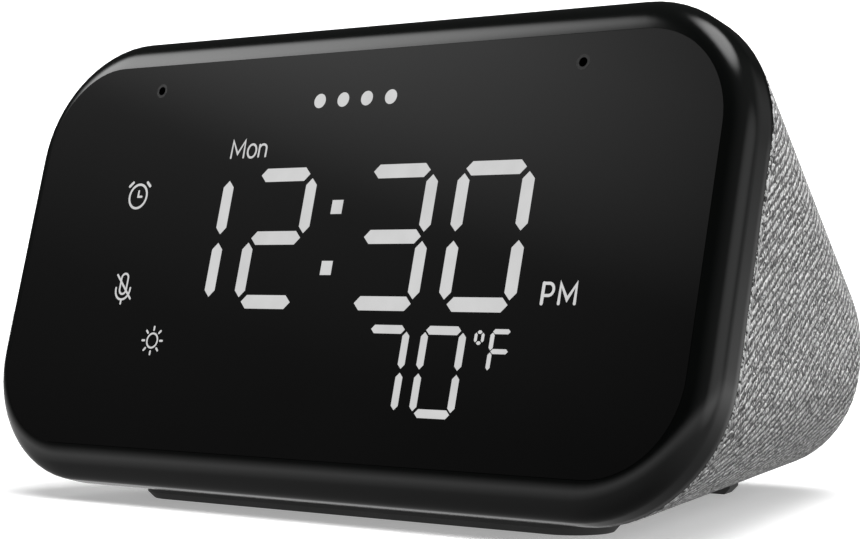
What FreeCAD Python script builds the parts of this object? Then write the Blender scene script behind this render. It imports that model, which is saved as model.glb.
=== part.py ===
import FreeCAD, Part
import math
import os

# Desk clock with a smart display: a tilted glass face in a black rim, a wedge body in fabric,
# touch-size keys on top, ports at the back and a small loudspeaker under the sloping top.
# Millimetres. +Z up, the face looks to -Y, the origin is the middle of the footprint on the desk.

V = FreeCAD.Vector

# Whole object
WIDTH = 121.0
DEPTH = 83.0
FACE_TILT = 14.87                  # degrees that the face leans back
FACE_Z = 34.5                      # height of the face's centre
FACE_LEAD = 7.23                   # the lower rim stands this far in front of the face's centre
FACE_Y = FACE_LEAD - DEPTH / 2

# Rim and lens, measured on the face: x across, y up the slope, z out of the glass
RIM_HEIGHT = 63.9
RIM_CORNER = 17.7
RIM_DROP = 3.4                     # the rim's rounded edge falls this far behind the glass
RIM_BACK = -6.2
LENS_WIDTH = 114.7
LENS_HEIGHT = 54.8
LENS_CORNER = 12.5
LENS_THICK = 1.2
LEDGE_WIDTH = 106.0
LEDGE_HEIGHT = 45.2
LEDGE_CORNER = 13.0
LEDGE_TOP = -1.3
LEDGE_BACK = -2.8
SKIRT_BACK = -9.5
SKIRT_INSET = 3.55
SKIRT_WALL = 1.5
MIC_X = 36.3
MIC_Y = 23.6
MIC_HOLE_R = 0.6
BOSS_X = 49.5
BOSS_Y = 19.0

# Body: ruled from the rim to the shoulder, then domed to a flat back
COVER = 0.95                       # fabric and its backing
HOUSING_OUT = 1.0
HOUSING_IN = 3.4
BACK_Y = DEPTH / 2
BACK_ROUND = 10.0
BACK_HALF_WIDTH = 30.4
BACK_LOW = 13.5
BACK_HIGH = 26.7
SHOULDER_HALF_WIDTH = 41.8
SHOULDER_LOW = 3.5
SHOULDER_HIGH = 38.0
SHOULDER_Y = BACK_Y - BACK_ROUND
DOME_ANGLES = (27.0, 50.0, 72.0, 90.0)

# Display digits, on the face
DIGIT_W = 10.06
DIGIT_H = 17.42
DIGIT_X = -24.68
DIGIT_PITCH = 15.07
COLON_GAP = 5.30
DIGIT_Y = 1.83
SEGMENT = 1.85
ACROSS_GAP = 0.33                  # gaps at the ends of the segments, in segment widths
ALONG_GAP = 0.55
SMALL_W = 5.94
SMALL_H = 10.45
SMALL_X = 12.77
SMALL_PITCH = 8.91
SMALL_Y = -15.40
SMALL_SEGMENT = 1.1
DOT_R = 1.0
DOT_PITCH = 4.09
DOT_Y = 20.66
CENTRE_X = 0.4

# Layers behind the glass: heights are along the face's z
MASK_TOP = -1.25
MASK_THICK = 0.2
REFLECTOR_WIDTH = 94.6
REFLECTOR_HEIGHT = 43.6
REFLECTOR_TOP = -1.5
REFLECTOR_BACK = -5.95
PIPE_FIT = 0.93                    # size of a light pipe against its window
PIPE_BACK = -4.5
LED_HALF = 0.4
LED_TOP = -5.3
DISPLAY_BOARD_WIDTH = 94.0
DISPLAY_BOARD_HEIGHT = 44.6
DISPLAY_BOARD_TOP = -6.0
DISPLAY_BOARD_THICK = 1.0
CARRIER_TOP = -7.1
CARRIER_BACK = -8.9
MIC_BODY_X = 1.75
MIC_BODY_Y = 1.3
MIC_TOP = -3.85
MIC_BACK = -4.9
MAIN_BOARD_WIDTH = 84.0
MAIN_BOARD_HEIGHT = 34.0
MAIN_BOARD_TOP = -14.05
MAIN_BOARD_BACK = -15.25
MAIN_SCREW_X = 38.0
MAIN_SCREW_Y = 13.5
CAN_WIDTH = 28.0
CAN_HEIGHT = 19.0
CAN_WALL = 0.3
CAN_BACK = -17.4
CAN_Y = -5.0
SPREADER_WIDTH = 34.0
SPREADER_HEIGHT = 20.0
SPREADER_THICK = 0.95
RIBBON_HALF = 6.0
RIBBON_THICK = 0.3
RIBBON_Y = -21.6

# Keys on the sloping top, measured on the slope: x across, y down the slope, z out
KEYS = ("volume_down", "play_pause", "alarm", "volume_up")
KEY_PITCH = 16.0
KEY_Y = 11.5
KEY_R = 3.4
KEY_GAP = 0.35
KEY_FLANGE_R = 4.2
KEY_PROUD = 0.7
PANEL_LENGTH = 70.0
PANEL_WIDTH = 10.0
PANEL_PROUD = 0.3
PANEL_BACK = -4.3
PANEL_LIP = 1.5
KEY_SEAT = -2.2
PLUNGER_R = 0.9
PLUNGER_TOP = -5.0
SWITCH_TOP = -6.0
KEY_BOARD_TOP = -8.0
KEY_BOARD_THICK = 1.0
KEY_BOSS_X = 32.0

# Loudspeaker, on the same slope
SPEAKER_Y = 35.0
SPEAKER_HALF = 16.4
SPEAKER_TOP = -4.3
BASKET_FLANGE = 1.2
CONE_R = 11.6
COIL_R = 4.7
COIL_WALL = 0.3
SPEAKER_BOX_X = 18.5
SPEAKER_BOX_Y = 17.3
SPEAKER_BOX_DEEP = -20.0
BOX_WALL = 1.2
VENT_R = 1.1
VENT_PITCH = 3.6
VENT_RINGS = 3
SPEAKER_SCREW = 13.6
SURROUND_Z = -4.95                 # where the surround meets the cone, along the slope's z
BOWL_BACK = -10.4
CONE_BACK = -8.6
SPIDER_Z = -9.6
SPIDER_R = 9.35
SPIDER_THICK = 0.25
COIL_END = -12.6
TOP_PLATE_TOP = -10.45
MAGNET_TOP = -11.85
MAGNET_R = 10.8
MAGNET_BORE = 6.2
YOKE_TOP = -16.25
YOKE_BACK = -17.4
YOKE_R = 11.4
WIRE_R = 0.4

# Underside
FOOT_FRONT = -31.8
FOOT_BACK = 31.7
FOOT_FRONT_HALF = 41.0
FOOT_BACK_HALF = 23.0
FOOT_CORNER = 6.0
FOOT_CHAMFER = 0.9
FOOT_PAD = 8.0                     # depth of the foot's wide front and back ends
FOOT_WAIST = 14.0                  # half width of the foot between them
PLATE_MARGIN = 2.6
LEDGE_MARGIN = -5.4
PLATE_LOW = 0.15
PLATE_HIGH = 2.15
FOOT_SEAT = 1.2
BASE_SCREW_IN = 6.0                # screws stand this far in from the foot's front and back
BASE_SCREW_SIDE = 2.6
BALLAST_Y = 36.0

# Back panel: x across, y up from the ports' centre line, z inward from the back
PORT_Z = 19.7
PANEL_RISE = 0.4
PORT_PANEL_W = 50.0
PORT_PANEL_H = 11.0
PORT_FACE = 0.8                    # the panel's face lies this far inside the back
PORT_SKIN = 1.7
PORT_FLANGE = 3.6
PORT_PANEL_IN = 4.5
USB_X = 2.0
USB_W = 14.4
USB_H = 7.0
USB_WALL = 0.3
USB_LENGTH = 14.1
JACK_X = -15.0
JACK_SIZE = 9.0
JACK_COLLAR_R = 4.1
JACK_BORE_R = 3.2
JACK_PIN_R = 1.0
MUTE_X = 18.0
MUTE_SLOT = 6.0
MUTE_SLOT_H = 2.4
MUTE_KNOB = 2.6
MUTE_TRAVEL = 2.5
PORT_BOARD_TOP = -4.5
PORT_BOARD_SCREW_X = 23.0
PORT_BOARD_SCREW_Y = 18.0

GAP = 0.05                         # between pieces that are fixed together
SCREW_R = 0.95
HEAD_R = 1.9
HEAD = 0.6


def rotated(origin, degrees_about_x):
    return FreeCAD.Placement(origin, FreeCAD.Rotation(V(1, 0, 0), degrees_about_x))


FACE = rotated(V(0, FACE_Y, FACE_Z), 90 - FACE_TILT)
REAR = rotated(V(0, BACK_Y, PORT_Z), 90)


def on_face(x, y, z):
    return FACE.multVec(V(x, y, z))


TOP_EDGE = on_face(0, RIM_HEIGHT / 2, RIM_BACK)
TOP_SLOPE = math.degrees(math.atan2(TOP_EDGE.z - SHOULDER_HIGH, SHOULDER_Y - TOP_EDGE.y))
TOP = rotated(TOP_EDGE, -TOP_SLOPE)
LOW_EDGE = on_face(0, -RIM_HEIGHT / 2, RIM_BACK)
LOW_SLOPE = math.degrees(math.atan2(SHOULDER_LOW - LOW_EDGE.z, SHOULDER_Y - LOW_EDGE.y))
BASE = rotated(LOW_EDGE, LOW_SLOPE)


# ---------------------------------------------------------------- plain shapes

def moved(x, y, z):
    return FreeCAD.Placement(V(x, y, z), FreeCAD.Rotation())


def put(shape, frame):
    placed = shape.copy()
    placed.Placement = frame.multiply(placed.Placement)
    return placed


def block(x0, x1, y0, y1, z0, z1):
    return Part.makeBox(x1 - x0, y1 - y0, z1 - z0, V(x0, y0, z0))


def rod(radius, x, y, z0, z1):
    return Part.makeCylinder(radius, z1 - z0, V(x, y, z0))


def ring(inner, outer, x, y, z0, z1):
    return rod(outer, x, y, z0, z1).cut(rod(inner, x, y, z0 - 1, z1 + 1))


def fuse(shapes):
    return shapes[0].multiFuse(shapes[1:]).removeSplitter()


def rounded_wire(width, height, corner, x=0.0, y=0.0, z=0.0):
    a = width / 2
    b = height / 2
    r = min(corner, a - 0.02, b - 0.02)
    k = r * (1 - math.sqrt(0.5))
    edges = []
    for sx, sy in ((1, -1), (1, 1), (-1, 1), (-1, -1)):
        side = V(x + sx * a, y + sy * (b - r), z)
        cap = V(x + sx * (a - r), y + sy * b, z)
        start, end = (cap, side) if sx * sy < 0 else (side, cap)
        if edges:
            edges.append(Part.makeLine(edges[-1].Vertexes[-1].Point, start))
        edges.append(Part.Arc(start, V(x + sx * (a - k), y + sy * (b - k), z), end).toShape())
    edges.append(Part.makeLine(edges[-1].Vertexes[-1].Point, edges[0].Vertexes[0].Point))
    return Part.Wire(edges)


def slab(width, height, corner, z0, z1, x=0.0, y=0.0):
    face = Part.Face(rounded_wire(width, height, corner, x, y, z0))
    return face.extrude(V(0, 0, z1 - z0))


def round_corner(before, corner, after, radius):
    """The arc that rounds a corner, as its start, middle and end."""
    u = (before - corner).normalize()
    w = (after - corner).normalize()
    half = u.getAngle(w) / 2
    bisector = (u + w).normalize()
    centre = corner + bisector * (radius / math.sin(half))
    reach = radius / math.tan(half)
    return corner + u * reach, centre - bisector * radius, corner + w * reach


def tapered_wire(margin, z):
    """The foot's outline, narrower at the back, grown outwards by margin."""
    y0 = FOOT_FRONT - margin - LOW_EDGE.y
    y1 = FOOT_BACK + margin - LOW_EDGE.y
    front = FOOT_FRONT_HALF + margin
    back = FOOT_BACK_HALF + margin
    points = [V(-front, y0, z), V(front, y0, z), V(back, y1, z), V(-back, y1, z)]
    corner = max(FOOT_CORNER + margin, 1.0)
    arcs = [round_corner(points[i - 1], points[i], points[(i + 1) % 4], corner) for i in range(4)]
    edges = []
    for i, (start, middle, end) in enumerate(arcs):
        edges.append(Part.makeLine(arcs[i - 1][2], start))
        edges.append(Part.Arc(start, middle, end).toShape())
    return Part.Wire(edges)


def tapered_slab(margin, z0, z1):
    return Part.Face(tapered_wire(margin, z0)).extrude(V(0, 0, z1 - z0))


def screw(x, y, seat, length, down=False):
    """A pan-head screw: its head rests on seat and its shank runs up, or down."""
    head = rod(HEAD_R, 0, 0, -HEAD, 0)
    shank = rod(SCREW_R, 0, 0, 0, length)
    arm = HEAD_R / 2
    cross = block(-arm, arm, -0.2, 0.2, -HEAD - 0.1, -HEAD / 2)
    cross = cross.fuse(block(-0.2, 0.2, -arm, arm, -HEAD - 0.1, -HEAD / 2))
    piece = head.fuse(shank).cut(cross)
    if down:
        piece.rotate(V(0, 0, 0), V(1, 0, 0), 180)
    return put(piece, moved(x, y, seat))


# ---------------------------------------------------------------- body form

def back_section(y, half_width, low, high):
    half = (high - low) / 2
    wire = rounded_wire(2 * half_width, 2 * half, 0.94 * half)
    return put(wire, rotated(V(0, y, (high + low) / 2), 90))


def shoulder_section(inset):
    side = inset * 1.13
    return back_section(SHOULDER_Y, SHOULDER_HALF_WIDTH - side, SHOULDER_LOW + inset, SHOULDER_HIGH - side)


def dome_section(inset, angle):
    rest = BACK_ROUND - inset
    out = rest * math.cos(math.radians(angle))
    y = SHOULDER_Y + rest * math.sin(math.radians(angle))
    return back_section(y, BACK_HALF_WIDTH + out, BACK_LOW - out, BACK_HIGH + out)


def outline_slab(inset, z0, z1):
    return slab(WIDTH - 2 * inset, RIM_HEIGHT - 2 * inset, RIM_CORNER - inset, z0, z1)


def body_form(inset):
    outline = rounded_wire(WIDTH - 2 * inset, RIM_HEIGHT - 2 * inset, RIM_CORNER - inset, 0, 0, RIM_BACK)
    shoulder = shoulder_section(inset)
    wedge = Part.makeLoft([put(outline, FACE), shoulder], True, True)
    domes = [shoulder] + [dome_section(inset, angle) for angle in DOME_ANGLES]
    return wedge.fuse(Part.makeLoft(domes, True, False))


def body_openings():
    keys = slab(PANEL_LENGTH + 0.3, PANEL_WIDTH + 0.3, PANEL_WIDTH, -5, 3, 0, KEY_Y)
    ports = slab(PORT_PANEL_W + 0.3, PORT_PANEL_H + 0.3, PORT_PANEL_H, -2, 9, 0, PANEL_RISE)
    return put(keys, TOP), put(ports, REAR)


def fabric_cover():
    shell = body_form(0).cut(body_form(COVER))
    keys, ports = body_openings()
    under = put(tapered_slab(PLATE_MARGIN + 0.15, -1, 3), BASE)
    return shell.cut(keys).cut(ports).cut(under)


def vent_holes():
    holes = []
    for row in range(-VENT_RINGS, VENT_RINGS + 1):
        count = 2 * VENT_RINGS + 1 - abs(row)
        for i in range(count):
            x = (i - (count - 1) / 2) * VENT_PITCH
            y = SPEAKER_Y + row * VENT_PITCH * math.sqrt(0.75)
            holes.append(rod(VENT_R, x, y, -5, 1))
    return holes


def base_screw_places():
    places = []
    for y in (FOOT_FRONT + BASE_SCREW_IN, FOOT_BACK - BASE_SCREW_IN):
        back = (y - FOOT_FRONT) / (FOOT_BACK - FOOT_FRONT)
        x = FOOT_FRONT_HALF + (FOOT_BACK_HALF - FOOT_FRONT_HALF) * back - BASE_SCREW_SIDE
        places += [(-x, y - LOW_EDGE.y), (x, y - LOW_EDGE.y)]
    return places


def rear_housing():
    shell = body_form(HOUSING_OUT).cut(body_form(HOUSING_IN))
    keys, ports = body_openings()
    shell = shell.cut(keys).cut(ports)
    shell = shell.cut(put(tapered_slab(PLATE_MARGIN + 0.1, -1, PLATE_HIGH + GAP), BASE))
    shell = shell.cut(put(tapered_slab(LEDGE_MARGIN, -1, 6), BASE))
    shell = shell.cut(Part.makeCompound([put(hole, TOP) for hole in vent_holes()]))
    for x, y in base_screw_places():
        boss = put(rod(2.5, x, y, PLATE_HIGH + GAP + 0.6, 8.0), BASE)
        shell = shell.fuse(boss).cut(put(rod(SCREW_R + GAP, x, y, 0, 7.5), BASE))
    for x in (-PORT_BOARD_SCREW_X, PORT_BOARD_SCREW_X):
        post = rod(2.2, x, PORT_BOARD_SCREW_Y, SHOULDER_LOW + 2.3, PORT_Z + PORT_BOARD_TOP - 1.25)
        shell = shell.fuse(post).cut(rod(SCREW_R + GAP, x, PORT_BOARD_SCREW_Y, SHOULDER_LOW + 6.5, 20))
    return shell


# ---------------------------------------------------------------- face

def body_layer(inset, z0, z1):
    """The tapering body between two depths behind the glass, as seen from the face."""
    form = put(body_form(inset), FACE.inverse())
    return form.common(slab(WIDTH + 9, RIM_HEIGHT + 9, 1.0, z0, z1))


def rim_section(angle):
    a = math.radians(angle)
    grow_x = (WIDTH - LENS_WIDTH) * math.sin(a)
    grow_y = (RIM_HEIGHT - LENS_HEIGHT) * math.sin(a)
    corner = LENS_CORNER + (RIM_CORNER - LENS_CORNER) * math.sin(a)
    drop = -RIM_DROP * (1 - math.cos(a))
    return rounded_wire(LENS_WIDTH + grow_x, LENS_HEIGHT + grow_y, corner, z=drop)


def front_bezel():
    crown = Part.makeLoft([rim_section(a) for a in (0, 22.5, 45, 67.5, 90)], True, False)
    body = crown.fuse(slab(WIDTH, RIM_HEIGHT, RIM_CORNER, RIM_BACK, -RIM_DROP))
    body = body.fuse(body_layer(SKIRT_INSET, SKIRT_BACK, RIM_BACK))
    body = body.cut(slab(LENS_WIDTH, LENS_HEIGHT, LENS_CORNER, LEDGE_TOP, 1))
    body = body.cut(slab(LEDGE_WIDTH, LEDGE_HEIGHT, LEDGE_CORNER, RIM_BACK, 1))
    body = body.cut(outline_slab(SKIRT_INSET + SKIRT_WALL, RIM_BACK, LEDGE_BACK))
    body = body.cut(body_layer(SKIRT_INSET + SKIRT_WALL, SKIRT_BACK - 1, RIM_BACK))
    for x, y in corners(BOSS_X, BOSS_Y):
        boss = rod(2.1, x, y, -7.05, LEDGE_BACK).cut(rod(SCREW_R + GAP, x, y, -8, LEDGE_BACK - 0.7))
        body = body.fuse(boss)
    for x in (-MIC_X, MIC_X):
        body = body.cut(rod(MIC_HOLE_R, x, MIC_Y, -4, 1))
    return body


def corners(x, y):
    return [(-x, -y), (x, -y), (-x, y), (x, y)]


def display_lens():
    glass = slab(LENS_WIDTH - 2 * GAP, LENS_HEIGHT - 2 * GAP, LENS_CORNER - GAP, -LENS_THICK, 0)
    for x in (-MIC_X, MIC_X):
        glass = glass.cut(rod(MIC_HOLE_R, x, MIC_Y, -2, 1))
    return glass


def segment_outline(x, y, length, thick, upright):
    half = length / 2
    t = thick / 2
    points = [(-half, 0), (-half + t, t), (half - t, t), (half, 0), (half - t, -t), (-half + t, -t)]
    if upright:
        points = [(q, p) for p, q in points]
    return Part.makePolygon([V(x + p, y + q, 0) for p, q in points + points[:1]])


def digit_outlines(x, y, width, height, thick):
    """The seven segments of one digit, with a small gap between their points."""
    across = width - ACROSS_GAP * thick
    along = height / 2 - ALONG_GAP * thick
    outlines = [segment_outline(x, y + k * height / 2, across, thick, False) for k in (-1, 0, 1)]
    for sx in (-1, 1):
        for sy in (-1, 1):
            outlines.append(segment_outline(x + sx * width / 2, y + sy * height / 4, along, thick, True))
    return outlines


def window_outlines():
    outlines = []
    for k in range(4):
        x = DIGIT_X + DIGIT_PITCH * k + (COLON_GAP if k > 1 else 0)
        outlines += digit_outlines(x, DIGIT_Y, DIGIT_W, DIGIT_H, SEGMENT)
    for k in range(2):
        outlines += digit_outlines(SMALL_X + SMALL_PITCH * k, SMALL_Y, SMALL_W, SMALL_H, SMALL_SEGMENT)
    for sy in (-1, 1):
        outlines.append(rounded_wire(SEGMENT, SEGMENT, 0.2, CENTRE_X, DIGIT_Y + sy * DOT_PITCH))
    return outlines


def window_centres():
    return [Part.Face(wire).CenterOfMass for wire in window_outlines()]


def prisms(outlines, z0, z1):
    solids = [Part.Face(wire).extrude(V(0, 0, z1 - z0)) for wire in outlines]
    return [put(solid, moved(0, 0, z0)) for solid in solids]


def dot_rods(radius, z0, z1):
    return [rod(radius, CENTRE_X + (i - 1.5) * DOT_PITCH, DOT_Y, z0, z1) for i in range(4)]


def windowed(plate):
    return plate.cut(prisms(window_outlines(), -9, 1) + dot_rods(DOT_R, -9, 1))


def light_mask():
    plate = slab(LEDGE_WIDTH - 0.4, LEDGE_HEIGHT - 0.4, LEDGE_CORNER - 0.2, MASK_TOP - MASK_THICK, MASK_TOP)
    return windowed(plate)


def light_reflector():
    return windowed(slab(REFLECTOR_WIDTH, REFLECTOR_HEIGHT, 5.0, REFLECTOR_BACK, REFLECTOR_TOP))


def segment_light_pipes():
    outlines = [wire.scale(PIPE_FIT, Part.Face(wire).CenterOfMass) for wire in window_outlines()]
    dots = dot_rods(DOT_R - GAP, PIPE_BACK, REFLECTOR_TOP)
    return Part.makeCompound(prisms(outlines, PIPE_BACK, REFLECTOR_TOP) + dots)


def display_board():
    low = DISPLAY_BOARD_TOP - DISPLAY_BOARD_THICK
    return slab(DISPLAY_BOARD_WIDTH, DISPLAY_BOARD_HEIGHT, 2.0, low, DISPLAY_BOARD_TOP)


def segment_leds():
    places = window_centres() + [dot.CenterOfMass for dot in dot_rods(DOT_R, 0, 1)]
    leds = []
    for p in places:
        leds.append(block(p.x - LED_HALF, p.x + LED_HALF, p.y - LED_HALF, p.y + LED_HALF,
                          REFLECTOR_BACK, LED_TOP))
    return Part.makeCompound(leds)


def microphones():
    return Part.makeCompound([block(x - MIC_BODY_X, x + MIC_BODY_X, MIC_Y - MIC_BODY_Y, MIC_Y + MIC_BODY_Y,
                                    MIC_BACK, MIC_TOP) for x in (-MIC_X, MIC_X)])


def mic_gaskets():
    return Part.makeCompound([ring(MIC_HOLE_R, 1.5, x, MIC_Y, MIC_TOP + GAP, LEDGE_BACK - GAP)
                              for x in (-MIC_X, MIC_X)])


def mic_boards():
    return Part.makeCompound([block(x - 3.2, x + 3.2, 22.4, 25.9, MIC_BACK - 0.65, MIC_BACK - GAP)
                              for x in (-MIC_X, MIC_X)])


def display_carrier():
    plate = body_layer(SKIRT_INSET + SKIRT_WALL + 0.2, CARRIER_BACK, CARRIER_TOP)
    plate = plate.cut(block(-9, 9, -22.4, -19, -10, -6))
    plate = plate.cut(slab(60, 22, 4, -10, -6))
    for x, y in corners(BOSS_X, BOSS_Y):
        plate = plate.cut(rod(SCREW_R + 0.15, x, y, -10, -6))
    for x, y in corners(MAIN_SCREW_X, MAIN_SCREW_Y):
        plate = plate.fuse(rod(2.4, x, y, MAIN_BOARD_TOP + GAP, CARRIER_BACK))
    for x, y in corners(MAIN_SCREW_X, MAIN_SCREW_Y):
        plate = plate.cut(rod(SCREW_R + GAP, x, y, MAIN_BOARD_BACK, CARRIER_BACK + 0.9))
    return plate


def carrier_screws():
    return Part.makeCompound([screw(x, y, CARRIER_BACK - GAP, 4.6) for x, y in corners(BOSS_X, BOSS_Y)])


def display_ribbon():
    high = DISPLAY_BOARD_TOP - DISPLAY_BOARD_THICK - GAP
    low = MAIN_BOARD_TOP + 0.1
    tail = block(-RIBBON_HALF, RIBBON_HALF, RIBBON_Y, RIBBON_Y + RIBBON_THICK, low, high)
    front = block(-RIBBON_HALF, RIBBON_HALF, RIBBON_Y, RIBBON_Y + 2.0, high - RIBBON_THICK, high)
    back = block(-RIBBON_HALF, RIBBON_HALF, RIBBON_Y, RIBBON_Y + 6.6, low, low + RIBBON_THICK)
    return fuse([tail, front, back])


def main_board():
    board = slab(MAIN_BOARD_WIDTH, MAIN_BOARD_HEIGHT, 2.0, MAIN_BOARD_BACK, MAIN_BOARD_TOP)
    for x, y in corners(MAIN_SCREW_X, MAIN_SCREW_Y):
        board = board.cut(rod(SCREW_R + 0.15, x, y, MAIN_BOARD_BACK - 1, MAIN_BOARD_TOP + 1))
    return board


def main_board_screws():
    seat = MAIN_BOARD_BACK - GAP
    return Part.makeCompound([screw(x, y, seat, 5.0) for x, y in corners(MAIN_SCREW_X, MAIN_SCREW_Y)])


def shield_can():
    seat = MAIN_BOARD_BACK - GAP
    can = slab(CAN_WIDTH, CAN_HEIGHT, 0.8, CAN_BACK, seat, 0, CAN_Y)
    hollow = slab(CAN_WIDTH - 2 * CAN_WALL, CAN_HEIGHT - 2 * CAN_WALL, 0.5, CAN_BACK + CAN_WALL, seat + 1,
                  0, CAN_Y)
    return can.cut(hollow)


def heat_spreader():
    top = CAN_BACK - GAP
    return slab(SPREADER_WIDTH, SPREADER_HEIGHT, 1.0, top - SPREADER_THICK, top, 0, CAN_Y)


def wifi_antenna():
    return slab(6.0, 26.0, 0.5, -9.75, -8.95, -47.0, 0.0)


# ---------------------------------------------------------------- underside

def base_plate():
    plate = tapered_slab(PLATE_MARGIN, PLATE_LOW, PLATE_HIGH)
    plate = plate.cut(tapered_slab(0.1, -1, FOOT_SEAT))
    for x, y in base_screw_places():
        plate = plate.cut(rod(SCREW_R + 0.15, x, y, -1, 4))
    return put(plate, BASE)


def base_screws():
    seat = FOOT_SEAT - GAP
    return put(Part.makeCompound([screw(x, y, seat, 5.0) for x, y in base_screw_places()]), BASE)


def foot_waist(side):
    """What is missing from one side of the foot, below the base plate."""
    y0 = FOOT_FRONT + FOOT_PAD - LOW_EDGE.y
    y1 = FOOT_BACK - FOOT_PAD - LOW_EDGE.y
    gap = block(FOOT_WAIST, FOOT_FRONT_HALF + 1, y0, y1, -6, PLATE_LOW)
    if side < 0:
        gap = gap.mirror(V(0, 0, 0), V(1, 0, 0))
    return put(gap, BASE)


def rubber_foot():
    foot = put(tapered_slab(0, -6, FOOT_SEAT - GAP), BASE)
    foot = foot.common(Part.makeBox(200, 200, 20, V(-100, -100, 0)))
    floor_face = min(foot.Faces, key=lambda f: f.CenterOfMass.z)
    foot = foot.makeChamfer(FOOT_CHAMFER, floor_face.Edges)
    foot = foot.cut(foot_waist(1)).cut(foot_waist(-1))
    for x, y in base_screw_places():
        foot = foot.cut(put(rod(2.2, x, y, 0.4, 2), BASE))
    return foot


def ballast_weight():
    return put(slab(52.0, 26.0, 3.0, 3.5, 7.5, 0, BALLAST_Y), BASE)


# ---------------------------------------------------------------- keys

def key_places():
    middle = (len(KEYS) - 1) / 2
    return [(i - middle) * KEY_PITCH for i in range(len(KEYS))]


def button_panel():
    panel = slab(PANEL_LENGTH, PANEL_WIDTH, PANEL_WIDTH, PANEL_BACK, PANEL_PROUD, 0, KEY_Y)
    lip = slab(PANEL_LENGTH + 2 * PANEL_LIP, PANEL_WIDTH + 2 * PANEL_LIP, PANEL_WIDTH,
               PANEL_BACK, -HOUSING_IN - 0.1, 0, KEY_Y)
    panel = panel.fuse(lip)
    for x in key_places():
        panel = panel.cut(rod(KEY_R + KEY_GAP, x, KEY_Y, -9, 2))
        panel = panel.cut(rod(KEY_FLANGE_R + 0.4, x, KEY_Y, -9, KEY_SEAT))
    for x in (-KEY_BOSS_X, KEY_BOSS_X):
        boss = rod(1.9, x, KEY_Y, KEY_BOARD_TOP, PANEL_BACK)
        panel = panel.fuse(boss).cut(rod(SCREW_R + GAP, x, KEY_Y, -9, -3.5))
    return put(panel, TOP)


def key_cap(x):
    cap = rod(KEY_R, x, KEY_Y, KEY_SEAT - 0.8, KEY_PROUD)
    crown = max(cap.Faces, key=lambda f: f.CenterOfMass.z)
    cap = cap.makeFillet(0.35, crown.Edges)
    cap = cap.fuse(rod(KEY_FLANGE_R, x, KEY_Y, KEY_SEAT - 0.8, KEY_SEAT - 0.02))
    return put(cap.fuse(rod(1.4, x, KEY_Y, PLUNGER_TOP, KEY_SEAT - 0.8)), TOP)


def key_plunger(x):
    return put(rod(PLUNGER_R, x, KEY_Y, PLUNGER_TOP - 2.0, PLUNGER_TOP), TOP)


def tact_switches():
    bodies = []
    for x in key_places():
        body = slab(4.5, 4.5, 0.4, KEY_BOARD_TOP + GAP, SWITCH_TOP, x, KEY_Y)
        bodies.append(body.cut(rod(PLUNGER_R + 0.08, x, KEY_Y, KEY_BOARD_TOP + 0.25, 0)))
    return put(Part.makeCompound(bodies), TOP)


def button_board():
    low = KEY_BOARD_TOP - KEY_BOARD_THICK
    board = slab(68.0, 9.0, 1.5, low, KEY_BOARD_TOP - 0.02, 0, KEY_Y + 0.6)
    for x in (-KEY_BOSS_X, KEY_BOSS_X):
        board = board.cut(rod(SCREW_R + 0.15, x, KEY_Y, -12, 0))
    return put(board, TOP)


def button_board_screws():
    head = KEY_BOARD_TOP - KEY_BOARD_THICK - GAP
    return put(Part.makeCompound([screw(x, KEY_Y, head, 5.0) for x in (-KEY_BOSS_X, KEY_BOSS_X)]), TOP)


# ---------------------------------------------------------------- loudspeaker

def turned(points):
    """Revolve a closed outline of (radius, height) about the loudspeaker's axis."""
    wire = Part.makePolygon([V(r, 0, z) for r, z in points + points[:1]])
    return at_speaker(Part.Face(wire).revolve(V(0, 0, 0), V(0, 0, 1), 360))


def at_speaker(shape):
    return put(shape, TOP.multiply(moved(0, SPEAKER_Y, 0)))


def speaker_gasket():
    return at_speaker(ring(14.2, 16.3, 0, 0, SPEAKER_TOP + GAP, -HOUSING_IN - GAP))


def speaker_basket():
    top = SPEAKER_TOP
    low = top - BASKET_FLANGE
    flange = slab(2 * SPEAKER_HALF, 2 * SPEAKER_HALF, 5.0, low, top).cut(rod(13.9, 0, 0, low, top))
    seat = BOWL_BACK + 0.7
    bowl = turned([(13.9, low), (15.0, low), (10.9, BOWL_BACK), (9.4, BOWL_BACK), (9.4, seat), (10.4, seat)])
    frame = bowl.fuse(at_speaker(flange))
    for turn in range(4):
        window = block(-3.2, 3.2, 9.6, 13.6, -9.4, -6.2)
        window.rotate(V(0, 0, 0), V(0, 0, 1), 45 + 90 * turn)
        frame = frame.cut(at_speaker(window))
    for x, y in corners(SPEAKER_SCREW, SPEAKER_SCREW):
        frame = frame.cut(at_speaker(rod(SCREW_R + 0.1, x, y, -7, -3)))
    return frame


def speaker_screws():
    places = corners(SPEAKER_SCREW, SPEAKER_SCREW)
    return at_speaker(Part.makeCompound([screw(x, y, SPEAKER_TOP + 0.02, 5.0, True) for x, y in places]))


def speaker_surround():
    roll = [(11.65, 0.0), (12.2, 0.35), (13.0, 0.5), (13.85, 0.25), (13.85, 0.0), (13.0, 0.25), (12.2, 0.1),
            (11.65, -0.25)]
    return turned([(r, SURROUND_Z + z) for r, z in roll])


def speaker_spider():
    inner = COIL_R + COIL_WALL + GAP
    return at_speaker(ring(inner, SPIDER_R, 0, 0, SPIDER_Z, SPIDER_Z + SPIDER_THICK))


def speaker_cone():
    inner = COIL_R + COIL_WALL
    neck = COIL_R - 0.1
    return turned([(CONE_R, SURROUND_Z), (CONE_R, SURROUND_Z - 0.45), (inner, CONE_BACK), (neck, CONE_BACK),
                   (neck, CONE_BACK + 0.5)])


def speaker_dust_cap():
    edge = COIL_R - 0.15
    dome = [(0, 1.7), (2.4, 1.4), (edge, 0.45), (edge, 0.0), (2.4, 1.0), (0, 1.3)]
    return turned([(r, CONE_BACK + z) for r, z in dome])


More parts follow.
